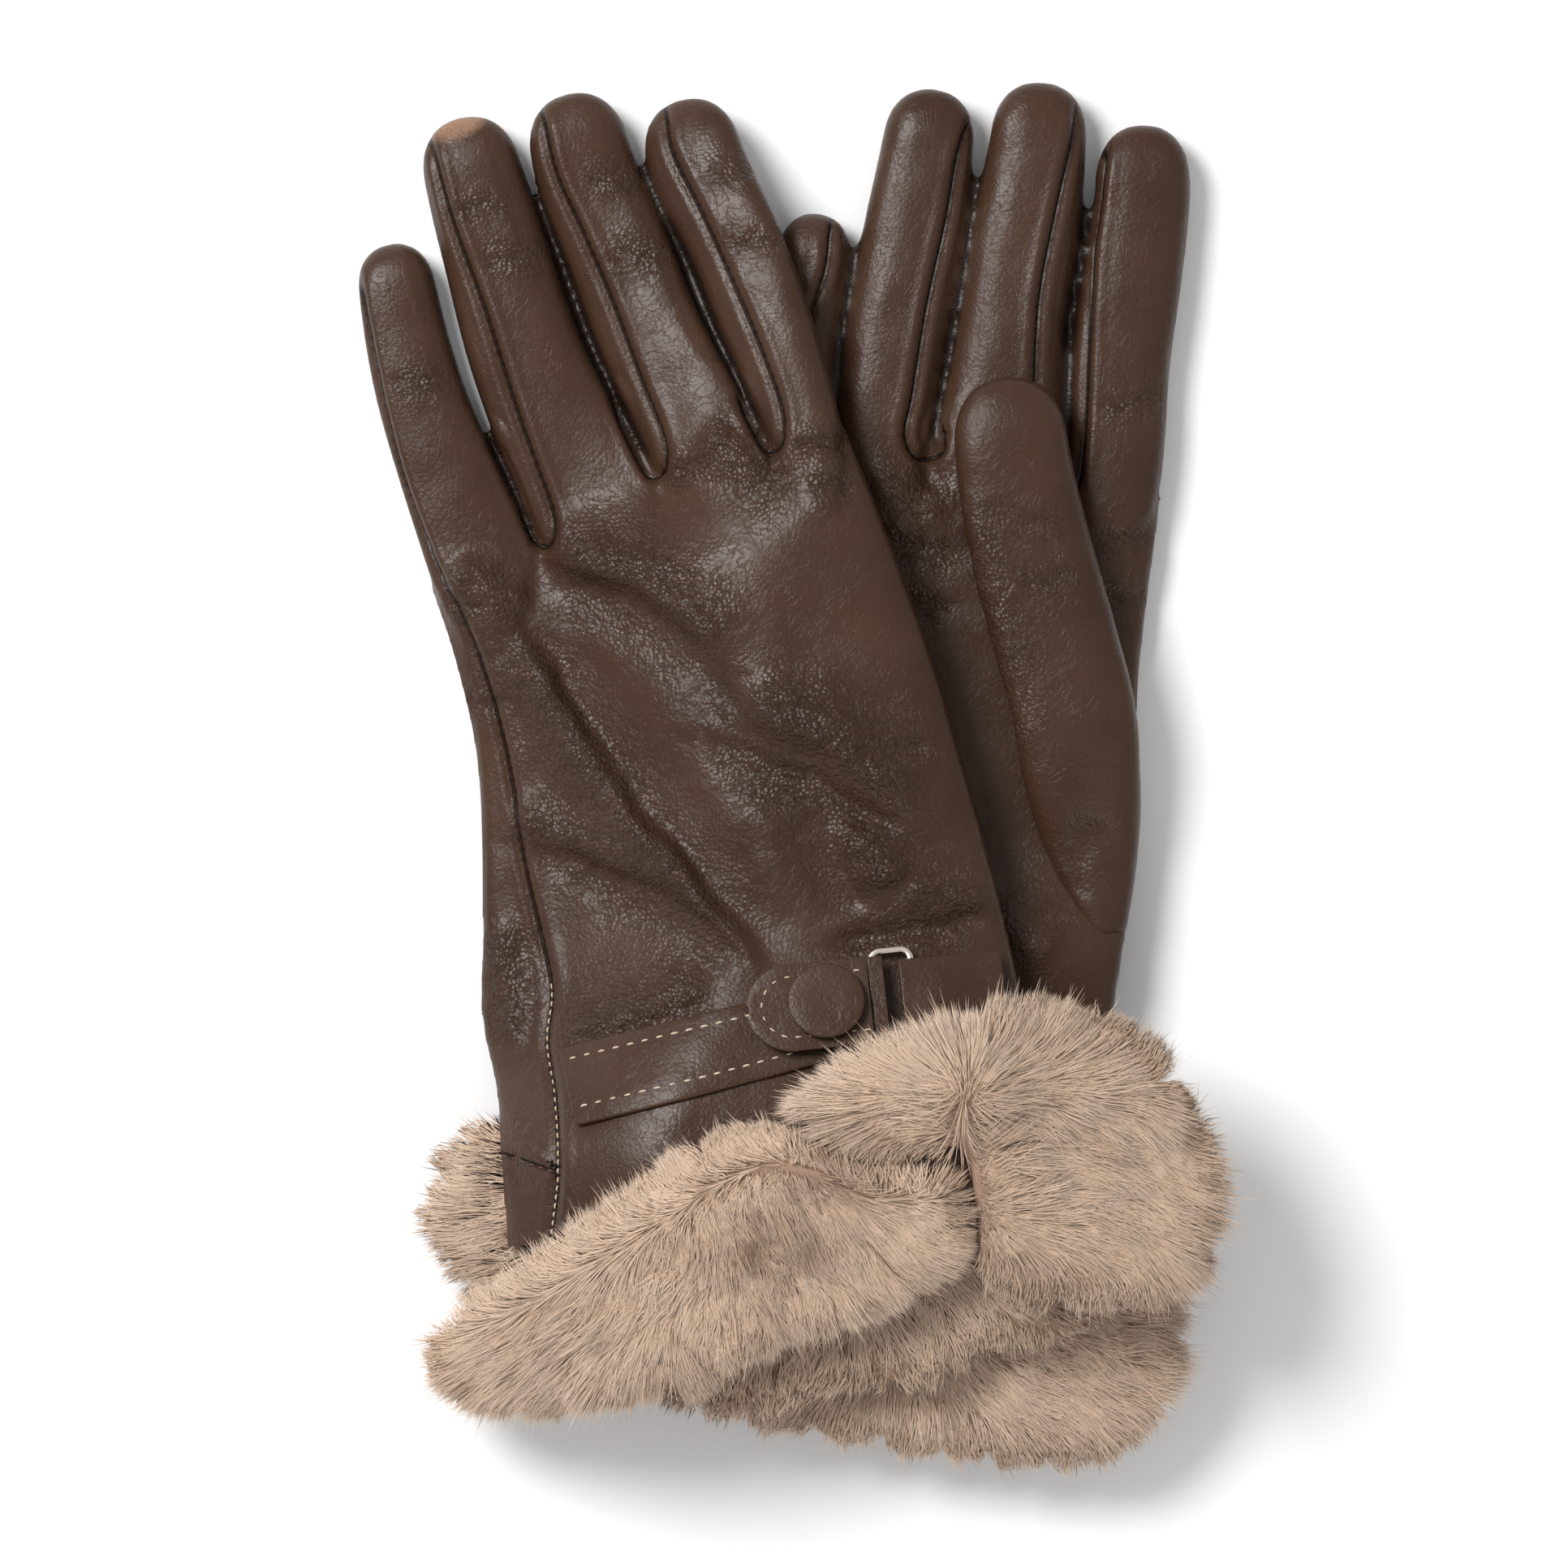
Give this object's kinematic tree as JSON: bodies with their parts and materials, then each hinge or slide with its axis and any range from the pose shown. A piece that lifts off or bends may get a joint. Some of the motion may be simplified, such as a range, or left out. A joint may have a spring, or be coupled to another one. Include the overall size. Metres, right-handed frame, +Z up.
{
  "type": "pair of leather gloves",
  "caption": "Pair of lined leather dress gloves with fur cuffs, side-stitched fingers, wrist strap, covered button tab and metal ring, lying one across the other.",
  "frame": {"origin": "centre of the pair's footprint at table height", "axes": "+Y towards the fingertips, +X from the left glove to the right glove, +Z up from the table"},
  "size_m": [0.1664, 0.277, 0.0496],
  "materials": {
    "leather": "brown nappa leather, semi-gloss, fine pebbled grain",
    "lining": "knitted lining, matt",
    "fur": "dyed rabbit fur, soft beige pile",
    "metal": "pale gold plate, polished"
  },
  "bodies": {
    "right_glove": {"right_back_panel": "leather", "right_palm_panel": "leather", "right_hand_lining": "lining", "right_cuff_band": "leather", "right_fur_back": "fur", "right_fur_side": "fur", "right_fur_palm": "fur", "right_strap": "leather", "right_strap_end": "leather", "right_snap_stud": "metal", "right_little_finger_base": "leather", "right_ring_finger_base": "leather", "right_middle_finger_base": "leather", "right_index_finger_base": "leather", "right_little_finger": "leather", "right_little_fourchette_inner": "leather"},
    "left_glove": {"left_back_panel": "leather", "left_palm_panel": "leather", "left_hand_lining": "lining", "left_cuff_band": "leather", "left_fur_back": "fur", "left_fur_side": "fur", "left_fur_palm": "fur", "left_strap": "leather", "left_strap_end": "leather", "left_snap_stud": "metal", "left_little_finger_base": "leather", "left_ring_finger_base": "leather", "left_middle_finger_base": "leather", "left_index_finger_base": "leather"},
    "right_ring": {"right_ring_finger": "leather", "right_ring_fourchette_outer": "leather", "right_ring_fourchette_inner": "leather"},
    "right_middle": {"right_middle_finger": "leather", "right_middle_fourchette_outer": "leather", "right_middle_fourchette_inner": "leather"},
    "right_index": {"right_index_finger": "leather", "right_index_fourchette_outer": "leather"},
    "left_little": {"left_little_finger": "leather", "left_little_fourchette_inner": "leather"},
    "left_ring": {"left_ring_finger": "leather", "left_ring_fourchette_outer": "leather", "left_ring_fourchette_inner": "leather"},
    "left_middle": {"left_middle_finger": "leather", "left_middle_fourchette_outer": "leather", "left_middle_fourchette_inner": "leather"},
    "left_index": {"left_index_finger": "leather", "left_index_fourchette_outer": "leather"},
    "right_thumb": {"right_thumb": "leather"},
    "left_thumb": {"left_thumb": "leather"},
    "left_tab": {"left_tab": "leather", "left_button": "leather"},
    "left_keeper": {"left_keeper": "metal"},
    "right_tab": {"right_tab": "leather", "right_button": "leather"},
    "right_keeper": {"right_keeper": "metal"}
  },
  "joints": [
    {"name": "left_glove_lift", "type": "slide", "parent": "right_glove", "child": "left_glove", "axis": [0, 0, 1], "range_m": [0, 0.06]},
    {"name": "right_ring_curl", "type": "hinge", "parent": "right_glove", "child": "right_ring", "pos_m": [0.02253, 0.08404, 0.01155], "axis": [0.9833, -0.1819, 0], "range_deg": [0, 80]},
    {"name": "right_middle_curl", "type": "hinge", "parent": "right_glove", "child": "right_middle", "pos_m": [0.04533, 0.08504, 0.01155], "axis": [0.9897, -0.1435, 0], "range_deg": [0, 80]},
    {"name": "right_index_curl", "type": "hinge", "parent": "right_glove", "child": "right_index", "pos_m": [0.06743, 0.08104, 0.01155], "axis": [0.9915, -0.1301, 0], "range_deg": [0, 80]},
    {"name": "left_little_lift", "type": "hinge", "parent": "left_glove", "child": "left_little", "pos_m": [-0.06877, 0.06804, 0.01155], "axis": [0.9624, 0.2717, 0], "range_deg": [0, 45]},
    {"name": "left_ring_lift", "type": "hinge", "parent": "left_glove", "child": "left_ring", "pos_m": [-0.04877, 0.07904, 0.01155], "axis": [0.9543, 0.2988, 0], "range_deg": [0, 45]},
    {"name": "left_middle_lift", "type": "hinge", "parent": "left_glove", "child": "left_middle", "pos_m": [-0.02497, 0.08504, 0.01521], "axis": [0.9322, 0.3619, 0], "range_deg": [0, 45]},
    {"name": "left_index_lift", "type": "hinge", "parent": "left_glove", "child": "left_index", "pos_m": [-0.00227, 0.08704, 0.02302], "axis": [0.932, 0.3624, 0], "range_deg": [0, 45]},
    {"name": "right_thumb_lift", "type": "hinge", "parent": "right_glove", "child": "right_thumb", "pos_m": [0.06193, -0.00786, 0.0102], "axis": [0.9615, 0.2747, 0], "range_deg": [0, 60]},
    {"name": "left_thumb_swing", "type": "hinge", "parent": "left_glove", "child": "left_thumb", "pos_m": [0.02423, -0.00696, 0.0183], "axis": [0, 0, -1], "range_deg": [0, 8]},
    {"name": "left_tab_open", "type": "hinge", "parent": "left_glove", "child": "left_tab", "pos_m": [0.01758, -0.04388, 0.03589], "axis": [-0.1009, 0.9601, -0.2608], "range_deg": [0, 95]},
    {"name": "left_keeper_slide", "type": "slide", "parent": "left_glove", "child": "left_keeper", "axis": [0.9949, 0.0976, -0.0261], "range_m": [0, 0.003]},
    {"name": "right_tab_open", "type": "hinge", "parent": "right_glove", "child": "right_tab", "pos_m": [0.04125, -0.05016, 0.003], "axis": [-0.1392, -0.9903, 0], "range_deg": [0, 95]},
    {"name": "right_keeper_slide", "type": "slide", "parent": "right_glove", "child": "right_keeper", "axis": [0.9903, -0.1392, 0], "range_m": [0, 0.003]}
  ]
}
